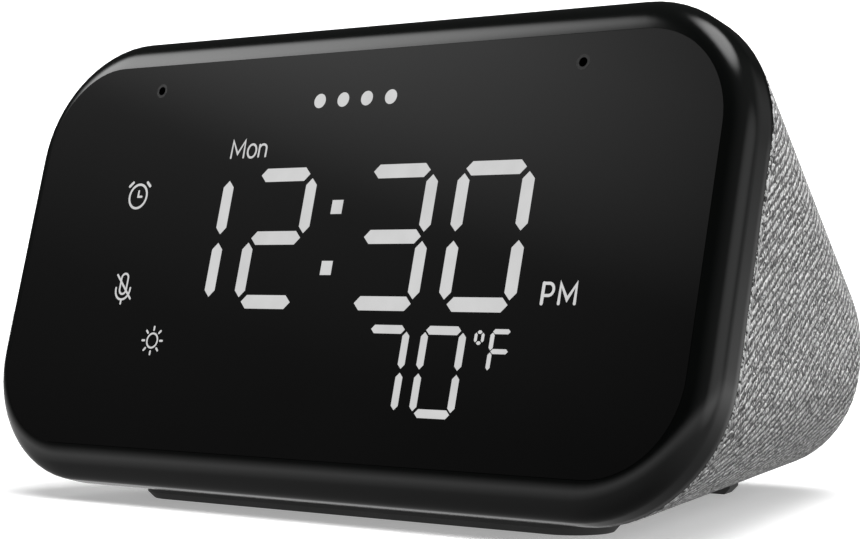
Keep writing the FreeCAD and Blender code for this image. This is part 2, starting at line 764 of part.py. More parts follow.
def speaker_voice_coil():
    return at_speaker(ring(COIL_R, COIL_R + COIL_WALL, 0, 0, COIL_END, CONE_BACK - GAP))


def speaker_top_plate():
    return at_speaker(ring(COIL_R + COIL_WALL + 0.4, YOKE_R, 0, 0, MAGNET_TOP + GAP, TOP_PLATE_TOP))


def speaker_magnet():
    return at_speaker(ring(MAGNET_BORE, MAGNET_R, 0, 0, YOKE_TOP + GAP, MAGNET_TOP))


def speaker_yoke():
    back = rod(YOKE_R, 0, 0, YOKE_BACK, YOKE_TOP)
    return at_speaker(back.fuse(rod(COIL_R - 0.4, 0, 0, YOKE_TOP, TOP_PLATE_TOP - 0.45)))


def speaker_box():
    top = SPEAKER_TOP - BASKET_FLANGE - GAP
    outer = slab(2 * SPEAKER_BOX_X, 2 * SPEAKER_BOX_Y, 4.0, SPEAKER_BOX_DEEP, top)
    inner = slab(2 * (SPEAKER_BOX_X - BOX_WALL), 2 * (SPEAKER_BOX_Y - BOX_WALL), 3.0,
                 SPEAKER_BOX_DEEP + BOX_WALL, 0)
    box = outer.cut(inner)
    for x, y in corners(SPEAKER_SCREW, SPEAKER_SCREW):
        box = box.fuse(rod(2.6, x, y, SPEAKER_BOX_DEEP, top)).cut(rod(SCREW_R + GAP, x, y, -10.5, 0))
    return at_speaker(box)


def speaker_wires():
    """Two leads from the box's front wall to the main board."""
    leads = []
    for x in (-2.0, 2.0):
        start = TOP.multVec(V(x, SPEAKER_Y - SPEAKER_BOX_Y - 0.6, -16.0))
        end = on_face(x, 8.0, -16.0)
        middle = V(x, (start.y + end.y) / 2, min(start.z, end.z) + 1.0)
        for a, b in ((start, middle), (middle, end)):
            leads.append(Part.makeCylinder(WIRE_R, (b - a).Length, a, b - a))
        leads.append(Part.makeSphere(WIRE_R, middle))
    return Part.makeCompound([fuse(leads[:3]), fuse(leads[3:])])


# ---------------------------------------------------------------- back panel

def port_plate():
    plate = slab(PORT_PANEL_W, PORT_PANEL_H, PORT_PANEL_H, PORT_FACE, PORT_PANEL_IN, 0, PANEL_RISE)
    lip = 3.0
    wall = 1.2
    flange = slab(PORT_PANEL_W + lip, PORT_PANEL_H + lip, PORT_PANEL_H, PORT_FLANGE, PORT_PANEL_IN,
                  0, PANEL_RISE)
    hollow = slab(PORT_PANEL_W - 2 * wall, PORT_PANEL_H - 2 * wall, PORT_PANEL_H, PORT_FACE + PORT_SKIN, 9,
                  0, PANEL_RISE)
    plate = plate.fuse(flange).cut(hollow)
    plate = plate.cut(slab(USB_W + 0.3, USB_H + 0.3, 0.7, 0, 9, USB_X))
    plate = plate.cut(rod(JACK_COLLAR_R + 0.1, JACK_X, 0, 0, 9))
    plate = plate.cut(slab(MUTE_SLOT, MUTE_SLOT_H, 0.5, 0, 9, MUTE_X))
    return put(plate, REAR)


def usb_receptacle():
    start = PORT_FACE + 0.2
    end = start + USB_LENGTH
    shell = slab(USB_W, USB_H, 0.6, start, end, USB_X)
    shell = shell.cut(slab(USB_W - 2 * USB_WALL, USB_H - 2 * USB_WALL, 0.4, start - 1, end - 0.4, USB_X))
    for sx in (-1, 1):
        for z in (6.5, 11.5):
            x = USB_X + sx * (USB_W / 2 - 0.3)
            shell = shell.fuse(block(x - 0.3, x + 0.3, PORT_BOARD_TOP + 0.02, -USB_H / 2 + 0.2, z, z + 1.6))
    return put(shell, REAR)


def usb_tongue():
    end = PORT_FACE + 0.2 + USB_LENGTH - 0.45
    tongue = block(USB_X - 5.6, USB_X + 5.6, 0.3, 2.1, PORT_FACE + 1.2, end)
    block_back = block(USB_X - 6.7, USB_X + 6.7, -3.0, 3.0, end - 4.0, end)
    return put(tongue.fuse(block_back), REAR)


def power_jack():
    half = JACK_SIZE / 2
    body = block(JACK_X - half, JACK_X + half, -half, half, PORT_PANEL_IN + 0.1, 13.4)
    body = body.fuse(rod(JACK_COLLAR_R, JACK_X, 0, PORT_FACE + 0.2, PORT_PANEL_IN + 0.1))
    return put(body.cut(rod(JACK_BORE_R, JACK_X, 0, -1, 11.5)), REAR)


def power_jack_pin():
    return put(rod(JACK_PIN_R, JACK_X, 0, 2.4, 11.45), REAR)


def mute_switch():
    body = block(MUTE_X - 4.2, MUTE_X + 4.2, PORT_BOARD_TOP + 0.02, 1.8, 4.7, 8.4)
    groove = block(MUTE_X - 2.9, MUTE_X + 2.9, -0.9, 0.9, 4.0, 6.6)
    return put(body.cut(groove), REAR)


def mute_slider():
    """Rests at the end nearer the middle, microphones on; it slides outwards to mute."""
    x = MUTE_X - MUTE_TRAVEL / 2
    knob = slab(MUTE_KNOB, MUTE_SLOT_H - 0.6, 0.4, 0.2, 3.0, x)
    stem = block(x - 0.9, x + 0.9, -0.55, 0.55, 3.0, 6.2)
    ridge = Part.makeCompound([block(x + k * 0.7 - 0.12, x + k * 0.7 + 0.12, -0.7, 0.7, 0.05, 0.3)
                               for k in (-1, 0, 1)])
    return put(knob.fuse(stem).fuse(ridge), REAR)


def port_board():
    board = block(-25.5, 25.5, PORT_BOARD_TOP - 1.2, PORT_BOARD_TOP, 4.6, 27.0)
    board = put(board, REAR)
    for x in (-PORT_BOARD_SCREW_X, PORT_BOARD_SCREW_X):
        board = board.cut(rod(SCREW_R + 0.15, x, PORT_BOARD_SCREW_Y, 0, 40))
    return board


def port_board_screws():
    seat = PORT_Z + PORT_BOARD_TOP + 0.02
    places = (-PORT_BOARD_SCREW_X, PORT_BOARD_SCREW_X)
    return Part.makeCompound([screw(x, PORT_BOARD_SCREW_Y, seat, 4.6, True) for x in places])


def face_parts():
    builders = (front_bezel, display_lens, light_mask, light_reflector, segment_light_pipes, display_board,
                segment_leds, microphones, mic_gaskets, mic_boards, display_carrier, carrier_screws,
                display_ribbon, main_board, main_board_screws, shield_can, heat_spreader, wifi_antenna)
    return {build.__name__: put(build(), FACE) for build in builders}


def body_parts():
    builders = (rear_housing, fabric_cover, base_plate, base_screws, rubber_foot, ballast_weight,
                button_panel, tact_switches, button_board, button_board_screws,
                speaker_gasket, speaker_basket, speaker_surround, speaker_spider, speaker_cone,
                speaker_dust_cap, speaker_voice_coil, speaker_top_plate, speaker_magnet, speaker_yoke,
                speaker_box, speaker_screws, speaker_wires, port_plate, usb_receptacle, usb_tongue,
                power_jack, power_jack_pin, mute_switch, mute_slider, port_board, port_board_screws)
    return {build.__name__: build() for build in builders}


def key_parts():
    parts = {}
    for name, x in zip(KEYS, key_places()):
        parts[name + "_button"] = key_cap(x)
        parts[name + "_plunger"] = key_plunger(x)
    return parts


def main():
    os.makedirs("parts", exist_ok=True)
    parts = {**face_parts(), **body_parts(), **key_parts()}
    for name, shape in parts.items():
        shape.exportStep("parts/" + name + ".step")
        state = "ok" if shape.isValid() and shape.Volume > 0 else "BAD"
        print(f"{name:22s} {state} solids {len(shape.Solids)} volume {shape.Volume:10.2f}")
    box = Part.makeCompound(list(parts.values())).optimalBoundingBox(False, False)
    print("box", [round(v, 2) for v in (box.XMin, box.XMax, box.YMin, box.YMax, box.ZMin, box.ZMax)])


main()
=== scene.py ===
import math

import bpy
import bmesh
from mathutils import Matrix, Vector


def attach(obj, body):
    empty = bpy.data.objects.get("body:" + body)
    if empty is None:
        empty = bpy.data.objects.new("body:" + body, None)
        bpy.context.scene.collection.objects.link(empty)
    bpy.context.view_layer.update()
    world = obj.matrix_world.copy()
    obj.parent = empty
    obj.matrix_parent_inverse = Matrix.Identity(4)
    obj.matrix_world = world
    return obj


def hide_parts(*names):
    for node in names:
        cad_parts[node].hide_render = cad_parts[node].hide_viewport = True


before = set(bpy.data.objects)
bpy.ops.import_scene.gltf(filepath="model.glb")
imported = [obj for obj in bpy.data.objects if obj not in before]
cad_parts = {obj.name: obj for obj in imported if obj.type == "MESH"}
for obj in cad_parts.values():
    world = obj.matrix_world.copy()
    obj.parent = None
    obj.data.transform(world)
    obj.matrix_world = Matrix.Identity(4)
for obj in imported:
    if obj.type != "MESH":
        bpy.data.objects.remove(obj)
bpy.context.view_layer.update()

# Lengths are in millimetres and become metres when a mesh is made.
MM = 0.001

# ---------------------------------------------------------------- sizes shared with the part
WIDTH = 121.0
DEPTH = 83.0
FACE_TILT = 14.87                      # degrees that the face leans back
FACE_Z = 34.5
FACE_LEAD = 7.23                       # the lower rim stands this far in front of the face's centre
FACE_Y = FACE_LEAD - DEPTH / 2
RIM_HEIGHT = 63.9
RIM_CORNER = 17.7
RIM_BACK = -6.2
LENS_WIDTH = 114.7
LENS_HEIGHT = 54.8
LENS_CORNER = 12.5
LEDGE_WIDTH = 106.0
LEDGE_HEIGHT = 45.2
LEDGE_CORNER = 13.0
LEDGE_TOP = -1.3
LEDGE_BACK = -2.8
SKIRT_INSIDE = 5.05
MIC_X = 36.3
MIC_Y = 23.6

COVER = 0.95                           # thickness of the cloth and its backing
BACK_ROUND = 10.0
BACK_HALF_WIDTH = 30.4
BACK_LOW = 13.5
BACK_HIGH = 26.7
SHOULDER_HALF_WIDTH = 41.8
SHOULDER_LOW = 3.5
SHOULDER_HIGH = 38.0
SHOULDER_Y = DEPTH / 2 - BACK_ROUND

DIGIT_W = 10.06
DIGIT_H = 17.42
DIGIT_X = -24.68
DIGIT_PITCH = 15.07
COLON_GAP = 5.30
DIGIT_Y = 1.83
SEGMENT = 1.85
SMALL_W = 5.94
SMALL_H = 10.45
SMALL_X = 12.77
SMALL_PITCH = 8.91
SMALL_Y = -15.40
SMALL_SEGMENT = 1.1
DOT_R = 1.0
DOT_PITCH = 4.09
DOT_Y = 20.66
CENTRE_X = 0.4

KEYS = ("volume_down", "play_pause", "alarm", "volume_up")
KEY_PITCH = 16.0
KEY_Y = 11.5
KEY_PROUD = 0.7
PANEL_LENGTH = 70.0
PANEL_WIDTH = 10.0
PANEL_GAP = 0.3

FOOT_FRONT = -31.8
FOOT_BACK = 31.7
FOOT_FRONT_HALF = 41.0
FOOT_BACK_HALF = 23.0
FOOT_CORNER = 6.0
PLATE_MARGIN = 2.75

PORT_Z = 19.7
PORT_RISE = 0.4
PORT_PANEL_W = 50.3
PORT_PANEL_H = 11.3


def rotated(origin, degrees):
    return Matrix.Translation(Vector(origin)) @ Matrix.Rotation(math.radians(degrees), 4, "X")


FACE = rotated((0, FACE_Y, FACE_Z), 90 - FACE_TILT)
REAR = rotated((0, DEPTH / 2, PORT_Z), 90)
TOP_EDGE = FACE @ Vector((0, RIM_HEIGHT / 2, RIM_BACK))
TOP_SLOPE = math.degrees(math.atan2(TOP_EDGE.z - SHOULDER_HIGH, SHOULDER_Y - TOP_EDGE.y))
TOP = rotated(TOP_EDGE, -TOP_SLOPE)
LOW_EDGE = FACE @ Vector((0, -RIM_HEIGHT / 2, RIM_BACK))
LOW_SLOPE = math.degrees(math.atan2(SHOULDER_LOW - LOW_EDGE.z, SHOULDER_Y - LOW_EDGE.y))
BASE = rotated(LOW_EDGE, LOW_SLOPE)


# ---------------------------------------------------------------- mesh helpers
def rounded_ring(width, height, corner, z=0.0, arc=16, long=40, short=20):
    """Points round a rounded rectangle, from its middle top towards +x, as many on every ring."""
    hx, hy = width / 2 - corner, height / 2 - corner
    points = [(hx * k / (long / 2), height / 2) for k in range(long // 2)]
    points += [(hx + corner * math.sin(a), hy + corner * math.cos(a))
               for a in (math.pi / 2 * k / arc for k in range(arc))]
    points += [(width / 2, hy - hy * k / (short / 2)) for k in range(short // 2)]
    lower = [(x, -y) for x, y in reversed(points[1:])]
    half = points + [(width / 2, 0.0)] + lower + [(0.0, -height / 2)]
    left = [(-x, y) for x, y in reversed(half[1:-1])]
    return [Vector((x, y, z)) for x, y in half + left]


def loft_faces(rings, count, closed=False):
    """Quads between rings of count points each; a closed loft joins the last ring to the first."""
    faces = []
    for i in range(rings if closed else rings - 1):
        a, b = i * count, ((i + 1) % rings) * count
        for k in range(count):
            n = (k + 1) % count
            faces.append((a + k, a + n, b + n, b + k))
    return faces


def add_mesh(name, points, faces, frame_at=None, smooth=True, sharp=35.0):
    """A closed mesh from points in millimetres, its faces turned outwards."""
    place = frame_at or Matrix.Identity(4)
    mesh = bpy.data.meshes.new(name)
    mesh.from_pydata([(place @ Vector(p)) * MM for p in points], [], faces)
    work = bmesh.new()
    work.from_mesh(mesh)
    bmesh.ops.recalc_face_normals(work, faces=work.faces)
    if work.calc_volume(signed=True) < 0:
        bmesh.ops.reverse_faces(work, faces=work.faces)
    work.to_mesh(mesh)
    work.free()
    for face in mesh.polygons:
        face.use_smooth = smooth
    if smooth:
        mesh.set_sharp_from_angle(angle=math.radians(sharp))
    obj = bpy.data.objects.new(name, mesh)
    bpy.context.scene.collection.objects.link(obj)
    return obj


def prism(outline, z0, z1):
    """Points and faces of a straight prism on a closed outline."""
    n = len(outline)
    points = [(x, y, z0) for x, y in outline] + [(x, y, z1) for x, y in outline]
    faces = [tuple(range(n)), tuple(range(2 * n - 1, n - 1, -1))]
    faces += [(k, (k + 1) % n, n + (k + 1) % n, n + k) for k in range(n)]
    return points, faces


def band(inner, outer, z0, z1):
    """Points and faces of a closed band between two outlines with as many points."""
    n = len(inner)
    points = [(x, y, z0) for x, y in inner] + [(x, y, z0) for x, y in outer]
    points += [(x, y, z1) for x, y in outer] + [(x, y, z1) for x, y in inner]
    return points, loft_faces(4, n, closed=True)


def stroke(path, width):
    """The outline of a pen stroke along an open path, with round ends."""
    path = [Vector(p) for p in path]
    half = width / 2
    sharpest = 0.45                    # limits how far a mitred corner reaches out
    cap_steps = 6

    def cap(p, along):
        start = math.atan2(along.y, along.x) - math.pi / 2
        turns = [start + math.pi * k / cap_steps for k in range(1, cap_steps)]
        return [p + Vector((math.cos(a), math.sin(a))) * half for a in turns]

    left, right = [], []
    for i, p in enumerate(path):
        before = (p - path[i - 1]).normalized() if i else (path[1] - p).normalized()
        after = (path[i + 1] - p).normalized() if i < len(path) - 1 else before
        middle = (before + after).normalized()
        side = Vector((-middle.y, middle.x))
        reach = half / max(sharpest, abs(side.dot(Vector((-after.y, after.x)))))
        left.append(p + side * reach)
        right.append(p - side * reach)
    end = cap(path[-1], path[-1] - path[-2])
    start = cap(path[0], path[0] - path[1])
    return [(v.x, v.y) for v in right + end + left[::-1] + start]


def ellipse(x, y, rx, ry, count=40):
    turns = [2 * math.pi * k / count for k in range(count)]
    return [(x + rx * math.cos(a), y + ry * math.sin(a)) for a in turns]


def gathered(name, solids, frame_at):
    """One mesh from several (points, faces) solids."""
    points, faces = [], []
    for more_points, more_faces in solids:
        start = len(points)
        points += more_points
        faces += [tuple(start + i for i in face) for face in more_faces]
    return add_mesh(name, points, faces, frame_at, smooth=False)


# ---------------------------------------------------------------- material helpers
class Nodes:
    """A short way to write a material's node tree."""

    def __init__(self, name):
        self.material = bpy.data.materials.new(name)
        self.material.use_nodes = True
        self.tree = self.material.node_tree
        self.shader = self.tree.nodes["Principled BSDF"]

    def add(self, kind, **inputs):
        node = self.tree.nodes.new(kind)
        for key, value in inputs.items():
            self.feed(node, key, value)
        return node

    def feed(self, node, key, value):
        socket = node.inputs[int(key[1:])] if key[0] == "i" and key[1:].isdigit() else node.inputs[key]
        if isinstance(value, bpy.types.NodeSocket):
            self.tree.links.new(value, socket)
        else:
            socket.default_value = value

    def math(self, operation, a, b=0.0, c=0.0):
        node = self.add("ShaderNodeMath", i0=a, i1=b, i2=c)
        node.operation = operation
        return node.outputs[0]

    def mix(self, factor, a, b):
        node = self.tree.nodes.new("ShaderNodeMix")
        node.data_type = "RGBA"
        for index, value in ((0, factor), (6, a), (7, b)):
            self.feed(node, "i%d" % index, value)
        return node.outputs[2]

    def ramp(self, factor, stops, step=False):
        node = self.add("ShaderNodeValToRGB", Fac=factor)
        band_of = node.color_ramp
        band_of.interpolation = "CONSTANT" if step else "LINEAR"
        while len(band_of.elements) < len(stops):
            band_of.elements.new(0.5)
        for element, (place, colour) in zip(band_of.elements, stops):
            element.position = place
            element.color = (*colour, 1.0)
        return node.outputs[0]

    def noise(self, scale, detail=3.0, vector=None):
        node = self.add("ShaderNodeTexNoise", Scale=scale, Detail=detail)
        if vector is not None:
            self.feed(node, "Vector", vector)
        return node.outputs["Fac"]

    def bump(self, height, strength, distance):
        node = self.add("ShaderNodeBump", Height=height, Strength=strength, Distance=distance)
        self.feed(self.shader, "Normal", node.outputs["Normal"])
        return node

    def position(self):
        return self.add("ShaderNodeTexCoord").outputs["Object"]


def grey(value):
    return (value, value, value)


def moulded(name, colour, roughness=0.45, grain=900.0, bump=0.08, vary=0.12, metal=0.0, wear=None):
    """Moulded or cast stock: a fine grain, a slow change of tone and uneven gloss."""
    n = Nodes(name)
    where = n.position()
    slow = n.noise(60.0, 2.0, where)
    fine = n.noise(grain, 4.0, where)
    darker = tuple(c * (1 - vary) for c in colour)
    lighter = tuple(min(1.0, c * (1 + vary)) for c in colour)
    tone = n.ramp(slow, [(0.3, darker), (0.7, lighter)])
    if wear:
        tone = n.mix(n.ramp(fine, [(0.55, grey(0.0)), (0.75, grey(0.5))]), tone, (*wear, 1.0))
    n.feed(n.shader, "Base Color", tone)
    n.feed(n.shader, "Roughness", n.math("MULTIPLY_ADD", fine, 0.12, roughness - 0.06))
    n.shader.inputs["Metallic"].default_value = metal
    n.bump(fine, bump, 0.0001)
    return n.material


def brushed(name, colour, roughness=0.32):
    """Turned or rolled metal with fine lines."""
    n = Nodes(name)
    stretch = n.add("ShaderNodeMapping", Vector=n.position(), Scale=(300.0, 6000.0, 300.0))
    lines = n.noise(1.0, 3.0, stretch.outputs[0])
    n.feed(n.shader, "Base Color", n.ramp(lines, [(0.3, tuple(c * 0.8 for c in colour)), (0.7, colour)]))
    n.feed(n.shader, "Roughness", n.math("MULTIPLY_ADD", lines, 0.15, roughness - 0.07))
    n.shader.inputs["Metallic"].default_value = 1.0
    n.bump(lines, 0.1, 0.00005)
    return n.material


def circuit():
    """Green solder mask with lighter tracks under it."""
    n = Nodes("circuit_board")
    cells = n.add("ShaderNodeTexVoronoi", Vector=n.position(), Scale=420.0)
    cells.distance = "MANHATTAN"
    tracks = n.ramp(cells.outputs["Distance"], [(0.35, (0.012, 0.06, 0.03)), (0.42, (0.03, 0.13, 0.06))])
    n.feed(n.shader, "Base Color", tracks)
    n.feed(n.shader, "Roughness", n.math("MULTIPLY_ADD", n.noise(200.0, 2.0), 0.1, 0.3))
    n.bump(cells.outputs["Distance"], 0.2, 0.00005)
    return n.material


def lens_finish():
    """Smoked glass, near black, with a very faint haze in its gloss."""
    n = Nodes("smoked_glass")
    haze = n.noise(35.0, 2.0, n.position())
    n.feed(n.shader, "Base Color", n.ramp(haze, [(0.35, grey(0.0008)), (0.65, grey(0.0012))]))
    n.feed(n.shader, "Roughness", n.math("MULTIPLY_ADD", haze, 0.03, 0.05))
    n.shader.inputs["IOR"].default_value = 1.5
    return n.material


def rim_finish():
    """Black moulded plastic with a soft satin gloss."""
    n = Nodes("rim_black")
    where = n.position()
    slow = n.noise(45.0, 2.0, where)
    fine = n.noise(1600.0, 3.0, where)
    tone = n.ramp(slow, [(0.3, (0.0008, 0.0012, 0.001)), (0.7, (0.0013, 0.0018, 0.0016))])
    n.feed(n.shader, "Base Color", tone)
    n.feed(n.shader, "Roughness", n.math("MULTIPLY_ADD", fine, 0.04, 0.13))
    n.shader.inputs["IOR"].default_value = 1.5
    n.bump(fine, 0.02, 0.00001)
    return n.material


def lit_finish():
    """Segments and icons lit from behind, a touch uneven."""
    n = Nodes("lit_segments")
    uneven = n.noise(220.0, 2.0, n.position())
    tone = n.ramp(uneven, [(0.3, grey(0.92)), (0.7, grey(1.0))])
    n.feed(n.shader, "Base Color", n.ramp(uneven, [(0.3, grey(0.02)), (0.7, grey(0.04))]))
    n.feed(n.shader, "Emission Color", tone)
    n.shader.inputs["Emission Strength"].default_value = 0.60
    n.shader.inputs["Roughness"].default_value = 0.5
    return n.material


SELVEDGE = 1.45                        # width of the braided edge, in millimetres
RIB_PITCH = 1.0
RIB_LEAN = -38.4                       # degrees between the ribs and the way round the body
YARN_LENGTH = 0.48
YARN_WIDTH = 0.21
KNOT_LEAN = 35.0
KNOT_LENGTH = 0.36
KNOT_WIDTH = 0.21


def yarn_cells(n, uv, lean, length, width):
    """Voronoi cells as long and wide as a stitch, lying along the ribs."""
    turn = n.add("ShaderNodeMapping", Vector=uv, Rotation=(0.0, 0.0, math.radians(-lean)))
    squeeze = n.add("ShaderNodeMapping", Vector=turn.outputs[0], Scale=(1 / length, 1 / width, 1.0))
    cells = n.add("ShaderNodeTexVoronoi", Vector=squeeze.outputs[0], Scale=1.0, Randomness=0.85)
    cells.voronoi_dimensions = "2D"
    return turn.outputs[0], cells


def heather_finish():
    """Heather-grey twill: leaning ribs of light and dark yarn with painted shade darkening the valleys
    between the ribs, and a braided edge by the rim.
    """
    n = Nodes("heather_fabric")
    uv_map = n.tree.nodes.new("ShaderNodeUVMap")
    uv_map.uv_map = "cloth_mm"
    uv = uv_map.outputs[0]
    along, cells = yarn_cells(n, uv, RIB_LEAN, YARN_LENGTH, YARN_WIDTH)
    chance = n.add("ShaderNodeSeparateColor", Color=cells.outputs["Color"])
    yarn = n.ramp(chance.outputs[0], [
        (0.0, grey(0.008)), (0.15, grey(0.07)), (0.28, grey(0.24)), (0.42, grey(0.46)),
        (0.62, grey(0.66)), (0.82, grey(0.88)),
    ], step=True)
    across = n.add("ShaderNodeSeparateXYZ", Vector=along)
    wobble = n.math("MULTIPLY_ADD", n.noise(0.5, 2.0, uv), 0.5, across.outputs["Y"])
    phase = n.math("MULTIPLY", wobble, 2 * math.pi / RIB_PITCH)
    rib = n.math("MULTIPLY_ADD", n.math("SINE", phase), 0.5, 0.5)
    # painted shade: the yarn colour is darkened in the valleys between the ribs, down to 0.14 at the bottom
    # of a valley
    painted_rib_shade = n.ramp(rib, [(0.08, grey(0.14)), (0.55, grey(1.0))])
    # the yarn colour multiplied by the painted rib shade
    tone = n.add("ShaderNodeMix")
    tone.data_type = "RGBA"
    tone.blend_type = "MULTIPLY"
    for index, value in ((0, 1.0), (6, yarn), (7, painted_rib_shade)):
        n.feed(tone, "i%d" % index, value)

    _, knots = yarn_cells(n, uv, KNOT_LEAN, KNOT_LENGTH, KNOT_WIDTH)
    knot_chance = n.add("ShaderNodeSeparateColor", Color=knots.outputs["Color"])
    braid = n.ramp(knot_chance.outputs[1], [
        (0.0, grey(0.006)), (0.32, grey(0.12)), (0.42, grey(0.45)), (0.66, grey(0.72)),
    ], step=True)
    depth = n.add("ShaderNodeSeparateXYZ", Vector=uv).outputs["Y"]
    on_edge = n.math("LESS_THAN", depth, SELVEDGE)
    n.feed(n.shader, "Base Color", n.mix(on_edge, tone.outputs[2], braid))
    fuzz = n.noise(6.0, 3.0, uv)
    n.feed(n.shader, "Roughness", n.math("MULTIPLY_ADD", fuzz, 0.15, 0.8))
    n.shader.inputs["Sheen Weight"].default_value = 0.25
    n.shader.inputs["Sheen Roughness"].default_value = 0.5
    n.shader.inputs["Specular IOR Level"].default_value = 0.25
    rounded = n.math("SUBTRACT", 1.0, cells.outputs["Distance"])
    ribs_and_yarn = n.math("MULTIPLY_ADD", rounded, 0.6, rib)
    knot_height = n.math("SUBTRACT", 1.2, knots.outputs["Distance"])
    heights = n.tree.nodes.new("ShaderNodeMix")
    for index, value in ((0, on_edge), (2, ribs_and_yarn), (3, knot_height)):
        n.feed(heights, "i%d" % index, value)
    n.bump(heights.outputs[0], 1.0, 0.00017)
    return n.material


def rubber_finish():
    n = Nodes("foot_rubber")
    where = n.position()
    grain = n.noise(2600.0, 4.0, where)
    dust = n.noise(70.0, 3.0, where)
    n.feed(n.shader, "Base Color", n.ramp(dust, [(0.35, grey(0.042)), (0.7, grey(0.056))]))
    n.feed(n.shader, "Roughness", n.math("MULTIPLY_ADD", grain, 0.15, 0.62))
    n.bump(grain, 0.25, 0.00006)
    return n.material


# ---------------------------------------------------------------- camera and studio
FOCAL_LENGTH = 93.75
CAMERA_PLACE = (193.8, -252.57, 32.5)
CAMERA_TURN = 38.88
CAMERA_PITCH = 89.924

camera_data = bpy.data.cameras.new("camera")
camera_data.lens = FOCAL_LENGTH
camera_data.sensor_width = 36.0
camera_data.clip_start = 0.01
camera = bpy.data.objects.new("camera", camera_data)
camera.location = Vector(CAMERA_PLACE) * MM
camera.rotation_euler = (math.radians(CAMERA_PITCH), 0, math.radians(CAMERA_TURN))
bpy.context.scene.collection.objects.link(camera)
bpy.context.scene.camera = camera
bpy.context.scene.view_settings.view_transform = "Standard"


# Soft lights in the sky: direction, angles where each starts and ends fading, and its strength
SOFTBOXES = (
    ((-0.72, -0.30, 0.63), 5.0, 17.0, 3.2),    # left
    ((0.14, -0.03, 0.99), 8.0, 24.0, 4.6),     # overhead
    ((0.98, 0.05, 0.08), 8.0, 32.0, 0.70),     # right
    ((0.98, 0.05, 0.08), 22.0, 80.0, 0.15),    # a wide dim glow round it
    ((0.55, 0.83, 0.05), 10.0, 38.0, 0.20),    # behind, right
)
# Brightness against height: the sine of the height in front, and half the sine plus a half all round
FRONT_LEFT_GLOW = ((0.22, 0.03), (0.33, 0.09), (0.40, 0.24), (0.445, 0.92), (0.48, 1.3), (0.56, 1.3),
                   (0.7, 0.0))
LOW_GLOW = ((0.0, 0.15), (0.30, 0.28), (0.37, 0.55), (0.43, 0.85), (0.48, 0.4), (0.53, 0.02), (1.0, 0.06))
LEFT_FADE = (-0.74, -0.40)             # the front glow fades out towards the right and the back
FRONT_FADE = (-0.3, 0.1)
GLOW_MAX = 2.0                         # a colour ramp holds values up to 1, so glows are scaled by this


def sky():
    """A dim studio with soft light overhead and to the left, and darkness in front."""
    world = bpy.data.worlds.new("studio")
    bpy.context.scene.world = world
    world.use_nodes = True
    nodes, links = world.node_tree.nodes, world.node_tree.links

    def calculate(operation, *values):
        node = nodes.new("ShaderNodeMath")
        node.operation = operation
        for socket, value in zip(node.inputs, values):
            if isinstance(value, bpy.types.NodeSocket):
                links.new(value, socket)
            else:
                socket.default_value = value
        return node.outputs[0]

    def fade(value, start, end, low, high):
        node = nodes.new("ShaderNodeMapRange")
        node.interpolation_type = "SMOOTHSTEP"
        links.new(value, node.inputs["Value"])
        for name, number in (("From Min", start), ("From Max", end), ("To Min", low), ("To Max", high)):
            node.inputs[name].default_value = number
        return node.outputs[0]

    def graph(value, stops):
        node = nodes.new("ShaderNodeValToRGB")
        links.new(value, node.inputs[0])
        for _ in stops[2:]:
            node.color_ramp.elements.new(0.5)
        for element, (place, level) in zip(node.color_ramp.elements, stops):
            element.position = place
            element.color = (*[level / GLOW_MAX] * 3, 1.0)
        return calculate("MULTIPLY", node.outputs[0], GLOW_MAX)

    direction = nodes.new("ShaderNodeTexCoord").outputs["Generated"]
    split = nodes.new("ShaderNodeSeparateXYZ")
    links.new(direction, split.inputs[0])
    leftness = fade(split.outputs["X"], *LEFT_FADE, 1.0, 0.0)
    in_front = fade(split.outputs["Y"], *FRONT_FADE, 1.0, 0.0)
    glow = calculate("MULTIPLY", graph(split.outputs["Z"], FRONT_LEFT_GLOW), leftness)
    half_height = calculate("MULTIPLY_ADD", split.outputs["Z"], 0.5, 0.5)
    total = calculate("MULTIPLY_ADD", glow, in_front, graph(half_height, LOW_GLOW))
    for axis, inner, outer, level in SOFTBOXES:
        dot_product = nodes.new("ShaderNodeVectorMath")
        dot_product.operation = "DOT_PRODUCT"
        links.new(direction, dot_product.inputs[0])
        dot_product.inputs[1].default_value = Vector(axis).normalized()
        edges = math.cos(math.radians(outer)), math.cos(math.radians(inner))
        total = calculate("ADD", total, fade(dot_product.outputs["Value"], *edges, 0.0, level))
    background = nodes["Background"]
    background.inputs["Color"].default_value = (1.0, 1.0, 1.0, 1.0)
    links.new(total, background.inputs["Strength"])


COVE_STEPS = 96
FLOOR_RADII = (2.0, 300.0, 1350.0)
WALL_PROFILE = ((1340.0, -1.0), (1345.0, 12.0), (1350.0, 300.0), (1360.0, 300.0), (1360.0, -1.0))
FLOOR_GLOW = 0.34
WALL_GLOW = 0.9


def cove_ring(radius, height):
    turns = [2 * math.pi * k / COVE_STEPS for k in range(COVE_STEPS)]
    return [(radius * math.cos(a), radius * math.sin(a), height) for a in turns]


def white_paper(name, glow):
    n = Nodes(name)
    fibre = n.noise(40.0, 3.0, n.position())
    n.feed(n.shader, "Base Color", n.ramp(fibre, [(0.3, grey(0.86)), (0.7, grey(0.88))]))
    n.shader.inputs["Roughness"].default_value = 0.9
    n.shader.inputs["Emission Color"].default_value = (1.0, 1.0, 1.0, 1.0)
    n.shader.inputs["Emission Strength"].default_value = glow
    return n.material


def studio():
    """A white floor and wall that the camera sees and no reflection shows."""
    points = [p for radius in FLOOR_RADII for p in cove_ring(radius, 0.0)]
    faces = loft_faces(len(FLOOR_RADII), COVE_STEPS) + [tuple(range(COVE_STEPS))]
    floor = add_mesh("studio_floor", points, faces)
    floor.data.materials.append(white_paper("floor_paper", FLOOR_GLOW))
    points = [p for radius, height in WALL_PROFILE for p in cove_ring(radius, height)]
    wall = add_mesh("studio_wall", points, loft_faces(len(WALL_PROFILE), COVE_STEPS, closed=True))
    wall.data.materials.append(white_paper("wall_paper", WALL_GLOW))
    for paper in (floor, wall):
        paper.visible_glossy = False
        paper.visible_diffuse = False


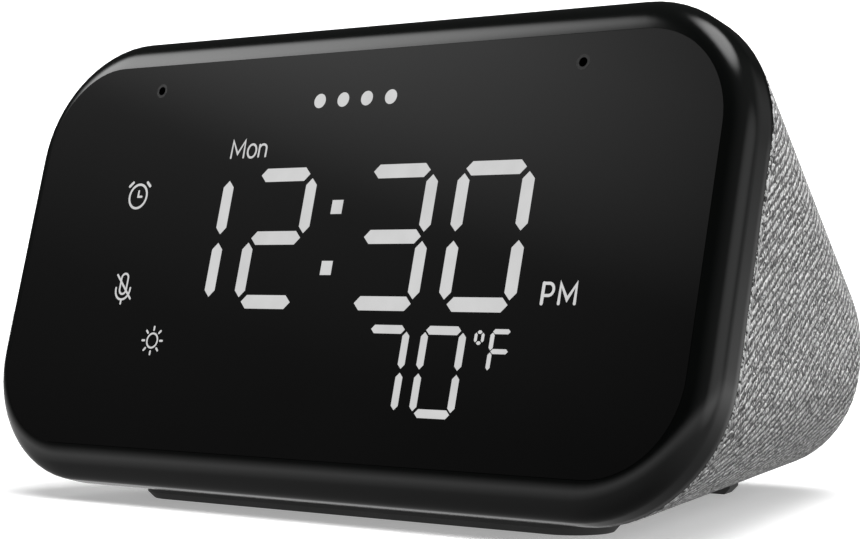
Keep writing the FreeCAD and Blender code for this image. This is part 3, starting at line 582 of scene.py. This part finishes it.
def fill_light(name, place, size, level):
    """A wide soft light that shows in no reflection."""
    data = bpy.data.lights.new(name, "AREA")
    data.size = size * MM
    data.energy = level * math.pi * (size * MM) ** 2
    light = bpy.data.objects.new(name, data)
    light.location = Vector(place) * MM
    light.rotation_euler = (-light.location).to_track_quat("-Z", "Y").to_euler()
    light.visible_glossy = False
    light.visible_camera = False
    bpy.context.scene.collection.objects.link(light)


# Name, place, size and level of each fill light
FILL_LIGHTS = (
    ("fill_overhead", (250.0, -150.0, 1300.0), 1500.0, 3.4),
    ("fill_right", (1100.0, 200.0, 500.0), 700.0, 2.9),
)

sky()
studio()
for fill in FILL_LIGHTS:
    fill_light(*fill)


# ---------------------------------------------------------------- rim
def rim_ring(grow, z):
    """One ring of the rim: grow runs from 0 at the glass to 1 at the outer edge."""
    return rounded_ring(LENS_WIDTH + (WIDTH - LENS_WIDTH) * grow,
                        LENS_HEIGHT + (RIM_HEIGHT - LENS_HEIGHT) * grow,
                        LENS_CORNER + (RIM_CORNER - LENS_CORNER) * grow, z)


def inset_ring(inset, z):
    return rounded_ring(WIDTH - 2 * inset, RIM_HEIGHT - 2 * inset, RIM_CORNER - inset, z)


CROWN_DEPTH = 3.4
CROWN_START = 11.0                     # the rim already leans this much where it meets the glass
CROWN_STEPS = 30
SEAM = 0.02                            # the crown starts this far behind the glass


def rim_profile():
    """Share of the rim's width, and depth behind the glass."""
    first = math.radians(CROWN_START)
    crown = []
    for k in range(CROWN_STEPS + 1):
        a = first + (math.pi / 2 - first) * k / CROWN_STEPS
        grow = (math.sin(a) - math.sin(first)) / (1 - math.sin(first))
        crown.append((grow, -SEAM - (CROWN_DEPTH - SEAM) * (1 - math.cos(a) / math.cos(first))))
    return [(0.0, -0.5)] + crown + [(1.0, -4.0), (1.0, -5.0), (1.0, -6.0)]


def make_rim():
    crown = [rim_ring(grow, z) for grow, z in rim_profile()]
    hidden = [inset_ring(0.15, RIM_BACK), inset_ring(SKIRT_INSIDE, RIM_BACK),
              inset_ring(SKIRT_INSIDE, LEDGE_BACK),
              rounded_ring(LEDGE_WIDTH, LEDGE_HEIGHT, LEDGE_CORNER, LEDGE_BACK),
              rounded_ring(LEDGE_WIDTH, LEDGE_HEIGHT, LEDGE_CORNER, LEDGE_TOP),
              rim_ring(0.0, LEDGE_TOP)]
    rings = crown + hidden
    points = [p for ring in rings for p in ring]
    rim = add_mesh("rim", points, loft_faces(len(rings), len(rings[0]), closed=True), FACE, sharp=50.0)
    rim.data.materials.append(rim_finish())
    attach(rim, "chassis")
    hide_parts("front_bezel")


make_rim()


# ---------------------------------------------------------------- fabric cover
SIDE_LENGTH = 62.0                     # of the cloth between the rim and the shoulder
SIDE_INSET = 1.13                      # the sides lean, so an inset reaches further at the shoulder
BACK_CORNER = 0.94                     # corner radius of the back's sections, in half heights
BACK_RUN = 8.0                         # the map's length across the flat back


def back_ring(y, half_width, low, high):
    half = (high - low) / 2
    place = rotated((0, y, (high + low) / 2), 90)
    return [place @ p for p in rounded_ring(2 * half_width, 2 * half, BACK_CORNER * half)]


def side_ring(along, inset):
    """A ring of the wedge, along millimetres behind the rim."""
    front = [FACE @ p for p in inset_ring(inset, RIM_BACK)]
    side = inset * SIDE_INSET
    shoulder = back_ring(SHOULDER_Y, SHOULDER_HALF_WIDTH - side, SHOULDER_LOW + inset, SHOULDER_HIGH - side)
    share = along / SIDE_LENGTH
    return [a.lerp(b, share) for a, b in zip(front, shoulder)]


def dome_ring(angle, inset):
    rest = BACK_ROUND - inset
    out = rest * math.cos(math.radians(angle))
    y = SHOULDER_Y + rest * math.sin(math.radians(angle))
    return back_ring(y, BACK_HALF_WIDTH + out, BACK_LOW - out, BACK_HIGH + out)


def shrunk(ring, share):
    """The same ring, scaled about its middle."""
    middle = sum(ring, Vector()) / len(ring)
    return [middle + (p - middle) * share for p in ring]


# The rolled edge: millimetres behind the rim, and how far in the cloth stands there
ROLLED_EDGE = ((0.06, 0.75), (0.06, 0.40), (0.25, 0.18), (0.55, 0.05), (0.9, 0.0), (1.2, 0.02),
               (1.4, 0.09), (1.55, 0.13), (1.8, 0.05), (2.4, 0.0))
SIDE_STEPS = 18
DOME_STEPS = (12, 24, 36, 48, 60, 70, 80, 90)
BACK_SHARES = (0.88, 0.7, 0.5, 0.3, 0.12)


def cloth_rings(offset, edge):
    """Rings from the rim to the middle of the back, and each ring's distance along the cloth."""
    rings = [(side_ring(s, offset + out), s) for s, out in edge]
    start = edge[-1][0]
    for k in range(1, SIDE_STEPS + 1):
        s = start + (SIDE_LENGTH - start) * k / SIDE_STEPS
        rings.append((side_ring(s, offset), s))
    length = BACK_ROUND - offset
    for angle in DOME_STEPS:
        rings.append((dome_ring(angle, offset), SIDE_LENGTH + 1 + length * math.radians(angle)))
    last, s = rings[-1]
    for share in BACK_SHARES:
        rings.append((shrunk(last, share), s + BACK_RUN * (1 - share)))
    return rings


def tapered_outline():
    """The base opening, the foot's outline grown by the plate's margin."""
    y0 = FOOT_FRONT - PLATE_MARGIN - LOW_EDGE.y
    y1 = FOOT_BACK + PLATE_MARGIN - LOW_EDGE.y
    front, back = FOOT_FRONT_HALF + PLATE_MARGIN, FOOT_BACK_HALF + PLATE_MARGIN
    corners = [Vector(p) for p in ((-front, y0), (front, y0), (back, y1), (-back, y1))]
    outline = []
    radius = FOOT_CORNER + PLATE_MARGIN
    steps = 12
    for i, corner in enumerate(corners):
        u = (corners[i - 1] - corner).normalized()
        w = (corners[(i + 1) % 4] - corner).normalized()
        half = u.angle(w) / 2
        centre = corner + (u + w).normalized() * (radius / math.sin(half))
        first = corner + u * (radius / math.tan(half)) - centre
        turn = math.pi - 2 * half
        for k in range(steps + 1):
            outline.append(tuple(centre + Matrix.Rotation(turn * k / steps, 2) @ first))
    return outline


def stadium(width, height, x=0.0, y=0.0, count=24):
    half = width / 2 - height / 2
    outline = []
    for k in range(count + 1):
        a = -math.pi / 2 + math.pi * k / count
        outline.append((x + half + height / 2 * math.cos(a), y + height / 2 * math.sin(a)))
    return outline + [(2 * x - px, 2 * y - py) for px, py in outline]


def cut(obj, outline, z0, z1, place):
    """Cuts a straight-sided opening through obj."""
    points, faces = prism(outline, z0, z1)
    tool = add_mesh("cutter", points, faces, place, smooth=False)
    modifier = obj.modifiers.new("opening", "BOOLEAN")
    modifier.operation = "DIFFERENCE"
    modifier.object = tool
    modifier.solver = "EXACT"
    view = bpy.context.evaluated_depsgraph_get()
    solved = obj.evaluated_get(view)
    opened = bpy.data.meshes.new_from_object(solved, preserve_all_data_layers=True, depsgraph=view)
    obj.modifiers.clear()
    obj.data = opened
    bpy.data.objects.remove(tool)


def paint_cloth_map(obj, rings, count):
    """A flat map of the cloth in millimetres: across from the middle of the top, and along from the rim."""
    layer = obj.data.uv_layers.new(name="cloth_mm")
    across = []
    for ring, _ in rings:
        total, row = 0.0, [0.0]
        for k in range(count):
            total += (ring[(k + 1) % count] - ring[k]).length
            row.append(total)
        across.append([a if a <= total / 2 + 1e-6 else a - total for a in row])
    for face in obj.data.polygons:
        loops = list(face.loop_indices)
        corners = [obj.data.loops[i].vertex_index for i in loops]
        places = [divmod(v, count) for v in corners]
        wraps = max(k for _, k in places) - min(k for _, k in places) > 1
        for loop, (i, k) in zip(loops, places):
            if i >= len(rings):        # the inner skin repeats the outer one's map
                i = 2 * len(rings) - 1 - i
            u = across[i][count if wraps and k == 0 else k]
            layer.data[loop].uv = (u, rings[i][1])


def make_cover():
    """The cloth, its outer skin lofted from the rim to the back and its inner skin inside that."""
    outer = cloth_rings(0.0, ROLLED_EDGE)
    inner = cloth_rings(COVER, tuple((along, 0.0) for along, _ in ROLLED_EDGE))
    count = len(outer[0][0])
    points = [p for ring, _ in outer + inner[::-1] for p in ring]
    half = len(outer)
    faces = loft_faces(half, count)
    shift = half * count
    faces += [tuple(shift + i for i in face) for face in loft_faces(half, count)]
    last = (2 * half - 1) * count
    for k in range(count):
        n = (k + 1) % count
        faces.append((k, n, last + n, last + k))
    faces.append(tuple(range((half - 1) * count, half * count)))
    faces.append(tuple(range(shift, shift + count)))
    cover = add_mesh("knit_cover", points, faces, sharp=60.0)
    paint_cloth_map(cover, outer, count)
    cover.data.materials.append(heather_finish())
    keys = stadium(PANEL_LENGTH + PANEL_GAP, PANEL_WIDTH + PANEL_GAP, 0.0, KEY_Y)
    cut(cover, tapered_outline(), -3.0, 3.0, BASE)
    cut(cover, keys, -5.0, 3.0, TOP)
    cut(cover, stadium(PORT_PANEL_W, PORT_PANEL_H, 0.0, PORT_RISE), -2.0, 9.0, REAR)
    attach(cover, "chassis")
    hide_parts("fabric_cover")


make_cover()


# ---------------------------------------------------------------- lit segments and icons
GLYPH_LOW = -0.04                      # the glyphs sink into the glass and stand just clear of it
GLYPH_HIGH = 0.012
LEAN = 0.02                            # a level segment's step sideways, in digit widths
SEGMENTS = {
    "0": "top upper_left upper_right lower_left lower_right bottom",
    "1": "upper_right lower_right",
    "2": "top upper_right middle lower_left bottom",
    "3": "top upper_right middle lower_right bottom",
    "7": "top upper_right lower_right",
    "F": "top upper_left middle lower_left",
}


def segment(x, y, length, thick, upright):
    half, t = length / 2, thick / 2
    points = [(-half, 0), (-half + t, t), (half - t, t), (half, 0), (half - t, -t), (-half + t, -t)]
    if upright:
        points = [(q, p) for p, q in points]
    return prism([(x + p, y + q) for p, q in points], GLYPH_LOW, GLYPH_HIGH)


def digit(shape, x, y, width, height, thick, across_gap=0.7, along_gap=1.2):
    """The lit segments of one digit, with gaps at the ends of the level and the upright ones."""
    places = {
        "top": (0, 1, False), "middle": (0, 0, False), "bottom": (0, -1, False),
        "upper_left": (-1, 0.5, True), "upper_right": (1, 0.5, True),
        "lower_left": (-1, -0.5, True), "lower_right": (1, -0.5, True),
    }
    solids = []
    for name in SEGMENTS[shape].split():
        sx, sy, upright = places[name]
        length = height / 2 - along_gap if upright else width - across_gap
        middle = x + (sx * width / 2 if upright else -sy * LEAN * width)
        solids.append(segment(middle, y + sy * height / 2, length, thick, upright))
    return solids


def pen(path, width):
    return prism(stroke(path, width), GLYPH_LOW, GLYPH_HIGH)


def hoop(x, y, rx, ry, width):
    inner = ellipse(x, y, rx - width / 2, ry - width / 2)
    outer = ellipse(x, y, rx + width / 2, ry + width / 2)
    return band(inner, outer, GLYPH_LOW, GLYPH_HIGH)


def dot(x, y, radius):
    return prism(ellipse(x, y, radius, radius, 32), GLYPH_LOW, GLYPH_HIGH)


def square(x, y, side):
    h = side / 2
    corners = [(x - h, y - h), (x + h, y - h), (x + h, y + h), (x - h, y + h)]
    return prism(corners, GLYPH_LOW, GLYPH_HIGH)


def arc(x, y, rx, ry, start, end, steps=14):
    turns = [math.radians(start + (end - start) * k / steps) for k in range(steps + 1)]
    return [(x + rx * math.cos(a), y + ry * math.sin(a)) for a in turns]


def lit(name, solids):
    glyphs = gathered(name, solids, FACE)
    glyphs.data.materials.append(LIT)
    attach(glyphs, "chassis")


LIT = lit_finish()
THIN = 0.30                            # pen widths of the small signs
BOLD = 0.46

COLON_X = CENTRE_X + 0.17
COLON_SIDE = 1.88
SLIMMER = 0.6                          # the "2" is this much narrower than the other digits
time_solids = []
for place, shape in enumerate("1230"):
    x = DIGIT_X + DIGIT_PITCH * place + (COLON_GAP if place > 1 else 0.0)
    slimmer = SLIMMER if shape == "2" else 0.0
    time_solids += digit(shape, x + slimmer / 2, DIGIT_Y, DIGIT_W - slimmer, DIGIT_H, SEGMENT)
lit("time_digits", time_solids)
lit("colon_dots", [square(COLON_X, DIGIT_Y + sign * DOT_PITCH, COLON_SIDE) for sign in (-1, 1)])
lit("status_dots", [dot(CENTRE_X + (k - 1.5) * DOT_PITCH, DOT_Y, DOT_R) for k in range(4)])

DEGREE_X = 27.22
DEGREE_Y = -10.95
DEGREE_SIDES = ((0, 1, 0.75, False), (0, -1, 0.75, False), (-1, 0, 1.2, True), (1, 0, 1.2, True))
temperature = []
for place, shape in enumerate("70"):
    x = SMALL_X + SMALL_PITCH * place
    temperature += digit(shape, x, SMALL_Y, SMALL_W, SMALL_H, SMALL_SEGMENT, 0.45, 0.5)
temperature += digit("F", 30.55, -12.62, 2.72, 4.92, 0.62, 0.1, 0.25)
for sx, sy, length, upright in DEGREE_SIDES:
    temperature.append(segment(DEGREE_X + sx * 0.53, DEGREE_Y + sy * 0.68, length, 0.44, upright))
lit("temperature_digits", temperature)

lit("weekday_text", [
    pen([(-20.32, 13.22), (-20.27, 15.6), (-19.16, 13.75), (-18.05, 15.6), (-17.98, 13.22)], THIN),
    hoop(-16.55, 14.09, 0.78, 0.93, THIN),
    pen([(-15.22, 13.25), (-15.22, 14.9)], THIN),
    pen(arc(-14.56, 14.4, 0.64, 0.55, 165, 0, 8) + [(-13.92, 13.25)], THIN),
])
bowl = arc(36.5, -4.88, 0.68, 0.75, 80, -80, 8)
lit("pm_text", [
    pen([(35.66, -6.62), (35.66, -4.12)], BOLD),
    pen([(35.66, -4.13), (36.5, -4.13)] + bowl + [(36.45, -5.63), (35.66, -5.63)], BOLD - 0.08),
    pen([(38.15, -6.6), (38.16, -4.18), (39.3, -6.08), (40.44, -4.18), (40.46, -6.58)], BOLD - 0.04),
])
lit("alarm_icon", [
    hoop(-37.04, 8.1, 1.7, 1.72, 0.34),
    pen([(-39.08, 9.6), (-38.46, 10.14)], 0.4),
    pen([(-35.62, 10.1), (-35.0, 9.56)], 0.4),
    pen([(-37.03, 8.86), (-37.03, 8.05), (-36.32, 8.05)], 0.32),
])


def pill(x, y, width, height):
    return [(x + q, y - p) for p, q in stadium(height, width)]


MIC = (-36.47, -4.56)
lit("mute_icon", [
    band(pill(*MIC, 1.02, 2.6), pill(*MIC, 1.6, 3.2), GLYPH_LOW, GLYPH_HIGH),
    pen([(-37.88, -5.15)] + arc(-36.46, -5.4, 1.4, 1.4, 185, 355, 12) + [(-35.04, -5.15)], THIN),
    pen([(-36.45, -6.8), (-36.45, -7.4)], THIN),
    pen([(-38.02, -3.28), (-34.7, -6.66)], THIN),
])
SUN = (-28.78, -12.5)
SUN_RAYS = 8
SUN_RAY = (1.5, 1.92)                  # where a ray starts and ends, from the middle
sun = [hoop(*SUN, 1.0, 1.0, 0.26)]
for k in range(SUN_RAYS):
    a = 2 * math.pi * k / SUN_RAYS
    sun.append(pen([(SUN[0] + r * math.cos(a), SUN[1] + r * math.sin(a)) for r in SUN_RAY], THIN))
lit("brightness_icon", sun)


# ---------------------------------------------------------------- rims round the microphone holes
MIC_RIM_R = 0.82
MIC_RIM_WIDTH = 0.36
mic_rims = gathered("mic_rims", [hoop(sign * MIC_X, MIC_Y, MIC_RIM_R, MIC_RIM_R, MIC_RIM_WIDTH)
                                 for sign in (-1, 1)], FACE)
mic_rims.data.materials.append(bpy.data.materials["rim_black"])
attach(mic_rims, "chassis")


# ---------------------------------------------------------------- marks on the keys
MARK = 0.34
MARK_HIGH = KEY_PROUD + 0.03
MARK_LOW = KEY_PROUD - 0.1


def key_mark(key, x, outlines):
    solids = []
    for outline in outlines:
        solids.append(prism([(x + px, KEY_Y + py) for px, py in outline], MARK_LOW, MARK_HIGH))
    mark = gathered(key + "_mark", solids, TOP)
    mark.data.materials.append(MARK_INK)
    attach(mark, key + "_key")


def ink():
    """Pale printed ink with a slightly uneven film."""
    n = Nodes("key_ink")
    film = n.noise(900.0, 3.0, n.position())
    n.feed(n.shader, "Base Color", n.ramp(film, [(0.3, grey(0.42)), (0.7, grey(0.55))]))
    n.feed(n.shader, "Roughness", n.math("MULTIPLY_ADD", film, 0.2, 0.45))
    return n.material


MARK_INK = ink()
BELL_DOME = arc(0.0, 0.25, 0.72, 0.85, 0, 180, 12)
BELL = [(-1.15, -0.75), (1.15, -0.75), (0.85, -0.35)] + BELL_DOME + [(-0.85, -0.35)]
KEY_MARKS = {
    "volume_down": [stroke([(-1.1, 0.0), (1.1, 0.0)], MARK)],
    "play_pause": [[(-1.35, 1.0), (-1.35, -1.0), (0.25, 0.0)], stroke([(0.7, 0.85), (0.7, -0.85)], MARK),
                   stroke([(1.4, 0.85), (1.4, -0.85)], MARK)],
    "alarm": [BELL, ellipse(0.0, -1.15, 0.28, 0.2, 16)],
    "volume_up": [stroke([(-1.1, 0.0), (1.1, 0.0)], MARK), stroke([(0.0, 0.25), (0.0, 1.1)], MARK),
                  stroke([(0.0, -0.25), (0.0, -1.1)], MARK)],
}
for place, key in enumerate(KEYS):
    key_mark(key, (place - 1.5) * KEY_PITCH, KEY_MARKS[key])


# ---------------------------------------------------------------- materials of the CAD nodes
def paint(material, *names):
    for name in names:
        node = bpy.data.objects[name]
        node.data.materials.clear()
        node.data.materials.append(material)


paint(lens_finish(), "display_lens")
paint(rubber_finish(), "rubber_foot")
paint(moulded("black_film", grey(0.004), 0.6, 600.0), "light_mask")
paint(moulded("white_reflector", grey(0.8), 0.5, 500.0, vary=0.04), "light_reflector")
paint(moulded("light_pipe", (0.75, 0.77, 0.78), 0.2, 400.0, vary=0.05), "segment_light_pipes")
paint(circuit(), "display_board", "main_board", "button_board", "port_board", "mic_boards")
paint(moulded("led_body", (0.75, 0.72, 0.55), 0.4, 800.0), "segment_leds")
paint(brushed("sensor_can", (0.72, 0.70, 0.66)), "microphones", "shield_can")
paint(moulded("foam", grey(0.03), 0.95, 1800.0, 0.6, 0.3), "mic_gaskets", "speaker_gasket")
paint(moulded("inner_plastic", grey(0.03), 0.5, 700.0), "display_carrier", "rear_housing", "speaker_box")
paint(brushed("screw_steel", (0.55, 0.55, 0.56), 0.3), "carrier_screws", "main_board_screws", "base_screws",
      "button_board_screws", "speaker_screws", "port_board_screws")
paint(moulded("ribbon", (0.62, 0.36, 0.08), 0.35, 500.0), "display_ribbon")
paint(brushed("spreader", (0.80, 0.80, 0.81), 0.38), "heat_spreader", "wifi_antenna")
paint(moulded("base_plastic", grey(0.028), 0.55, 900.0, 0.2), "base_plate")
paint(moulded("ballast_steel", (0.30, 0.29, 0.28), 0.5, 500.0, 0.2, 0.2, 0.9, (0.2, 0.14, 0.1)),
      "ballast_weight")
paint(moulded("panel_plastic", (0.013, 0.0135, 0.0135), 0.42, 1100.0, 0.15), "button_panel", "port_plate")
paint(moulded("key_rubber", grey(0.022), 0.6, 1500.0, 0.3), *[key + "_button" for key in KEYS])
paint(moulded("plunger_plastic", (0.55, 0.06, 0.04), 0.4, 900.0), *[key + "_plunger" for key in KEYS])
paint(moulded("switch_body", grey(0.05), 0.5, 900.0), "tact_switches", "mute_switch")
paint(moulded("speaker_steel", (0.22, 0.22, 0.23), 0.4, 600.0, 0.1, 0.1, 0.9),
      "speaker_basket", "speaker_top_plate", "speaker_yoke")
paint(moulded("speaker_rubber", grey(0.015), 0.6, 1400.0, 0.3), "speaker_surround")
paint(moulded("spider_cloth", (0.45, 0.30, 0.10), 0.9, 2500.0, 0.6, 0.25), "speaker_spider")
paint(moulded("cone_paper", grey(0.05), 0.85, 1600.0, 0.5, 0.3), "speaker_cone", "speaker_dust_cap")
paint(brushed("copper_coil", (0.80, 0.36, 0.18), 0.3), "speaker_voice_coil")
paint(moulded("magnet", grey(0.04), 0.5, 700.0, 0.3, 0.2), "speaker_magnet")
paint(moulded("wire", (0.35, 0.02, 0.02), 0.4, 700.0), "speaker_wires")
paint(brushed("connector_metal", (0.68, 0.67, 0.65), 0.28), "usb_receptacle", "power_jack_pin")
paint(moulded("connector_plastic", grey(0.018), 0.4, 900.0), "usb_tongue", "power_jack")
paint(moulded("slider_plastic", (0.40, 0.12, 0.03), 0.45, 1000.0), "mute_slider")
